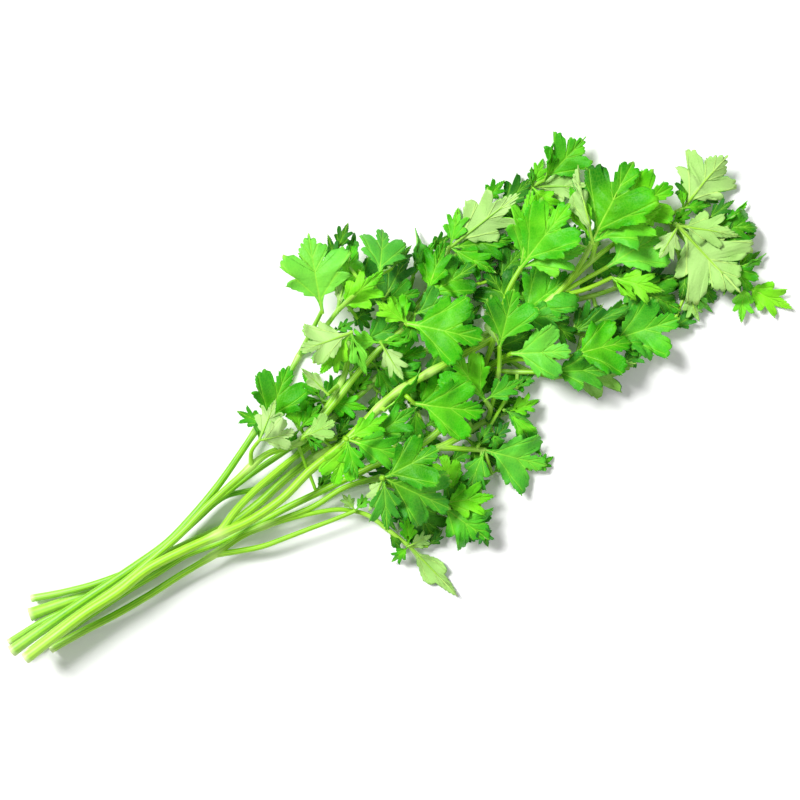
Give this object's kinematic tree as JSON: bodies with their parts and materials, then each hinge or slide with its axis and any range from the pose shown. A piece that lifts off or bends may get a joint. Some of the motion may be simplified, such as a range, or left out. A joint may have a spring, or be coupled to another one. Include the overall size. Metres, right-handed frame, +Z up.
{
  "type": "parsley bunch",
  "caption": "Loose bunch of flat-leaf parsley lying down: leafy stems with bare cut ends on one side and toothed three-lobed leaflets spread at the other.",
  "frame": {"origin": "middle of the bunch's box, on the surface that it lies on", "axes": "+X along the bunch from the cut ends to the leaves, +Y across it, +Z up"},
  "size_m": [0.3018, 0.1368, 0.029],
  "materials": {
    "leaf": "fresh green leaf, soft sheen on top, matte below",
    "stem": "pale green ribbed stem with a soft sheen"
  },
  "bodies": {
    "root": {"leafy_stem_1": "leaf", "leafy_stem_2": "leaf", "leafy_stem_3": "leaf", "leafy_stem_4": "leaf", "leafy_stem_5": "leaf", "leafy_stem_6": "leaf", "leafy_stem_7": "leaf", "leafy_stem_8": "leaf"}
  },
  "joints": []
}
